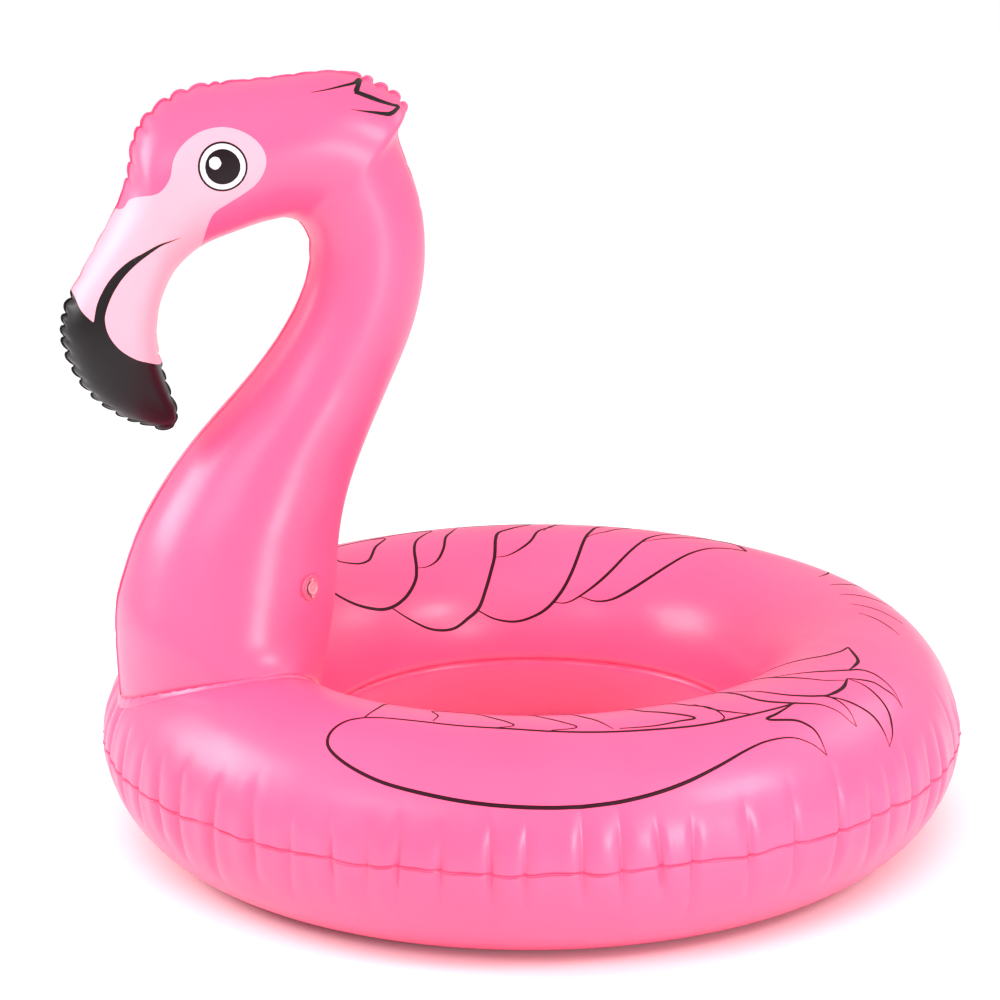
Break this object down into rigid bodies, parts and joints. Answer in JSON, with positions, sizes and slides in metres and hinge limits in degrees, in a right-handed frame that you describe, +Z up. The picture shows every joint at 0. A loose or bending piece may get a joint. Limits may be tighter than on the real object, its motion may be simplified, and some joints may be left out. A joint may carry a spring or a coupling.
{
  "type": "inflatable swim ring",
  "caption": "Inflatable swim ring shaped as a flamingo: round air tube with an open seat hole, standing neck and head, puckered welded seams and push-in air valves.",
  "frame": {"origin": "centre of the whole footprint at floor level; the ring's axis stands 14 mm behind it", "axes": "+Z up, the bird faces -X, its left side is at -Y, and Y = 0 is the plane of the neck and head"},
  "size_m": [0.9493, 0.922, 0.8244],
  "materials": {
    "ring_film": "satin printed PVC film",
    "neck_film": "satin printed PVC film",
    "weld": "welded double film",
    "valve_film": "soft clear tinted PVC",
    "valve_body": "soft moulded clear PVC"
  },
  "bodies": {
    "float": {"ring_top_sheet": "ring_film", "ring_bottom_sheet": "ring_film", "ring_outer_seam": "weld", "ring_inner_seam": "weld", "neck_left_panel": "neck_film", "neck_right_panel": "neck_film", "neck_edge_seam": "weld", "neck_base_seam": "weld", "ring_valve_base": "valve_body", "ring_valve_bellows": "valve_film", "neck_valve_base": "valve_body", "neck_valve_bellows": "valve_film"},
    "ring_stem": {"ring_valve_stem": "valve_body", "ring_valve_strap": "valve_body"},
    "ring_plug": {"ring_valve_plug": "valve_body"},
    "ring_flap": {"ring_valve_flap": "valve_film"},
    "neck_stem": {"neck_valve_stem": "valve_body", "neck_valve_strap": "valve_body"},
    "neck_plug": {"neck_valve_plug": "valve_body"},
    "neck_flap": {"neck_valve_flap": "valve_film"}
  },
  "joints": [
    {"name": "ring_stem_pop", "type": "slide", "parent": "float", "child": "ring_stem", "axis": [0, 0, 1], "range_m": [0, 0.011], "deforming": ["ring_valve_bellows"]},
    {"name": "ring_plug_pull", "type": "slide", "parent": "ring_stem", "child": "ring_plug", "axis": [0, 0, 1], "range_m": [0, 0.009], "deforming": ["ring_valve_strap"]},
    {"name": "ring_flap_swing", "type": "hinge", "parent": "ring_stem", "child": "ring_flap", "pos_m": [-0.27083, 0.19559, 0.2182], "axis": [0, 1, 0], "range_deg": [0, 55], "stiffness_Nm_per_rad": 0.0002},
    {"name": "neck_stem_pop", "type": "slide", "parent": "float", "child": "neck_stem", "axis": [0.6392, -0.7655, 0.0732], "range_m": [0, 0.011], "deforming": ["neck_valve_bellows"]},
    {"name": "neck_plug_pull", "type": "slide", "parent": "neck_stem", "child": "neck_plug", "axis": [0.6392, -0.7655, 0.0732], "range_m": [0, 0.009], "deforming": ["neck_valve_strap"]},
    {"name": "neck_flap_swing", "type": "hinge", "parent": "neck_stem", "child": "neck_flap", "pos_m": [-0.24551, -0.07988, 0.29949], "axis": [-0.7676, -0.6409, 0], "range_deg": [0, 55], "stiffness_Nm_per_rad": 0.0002}
  ]
}
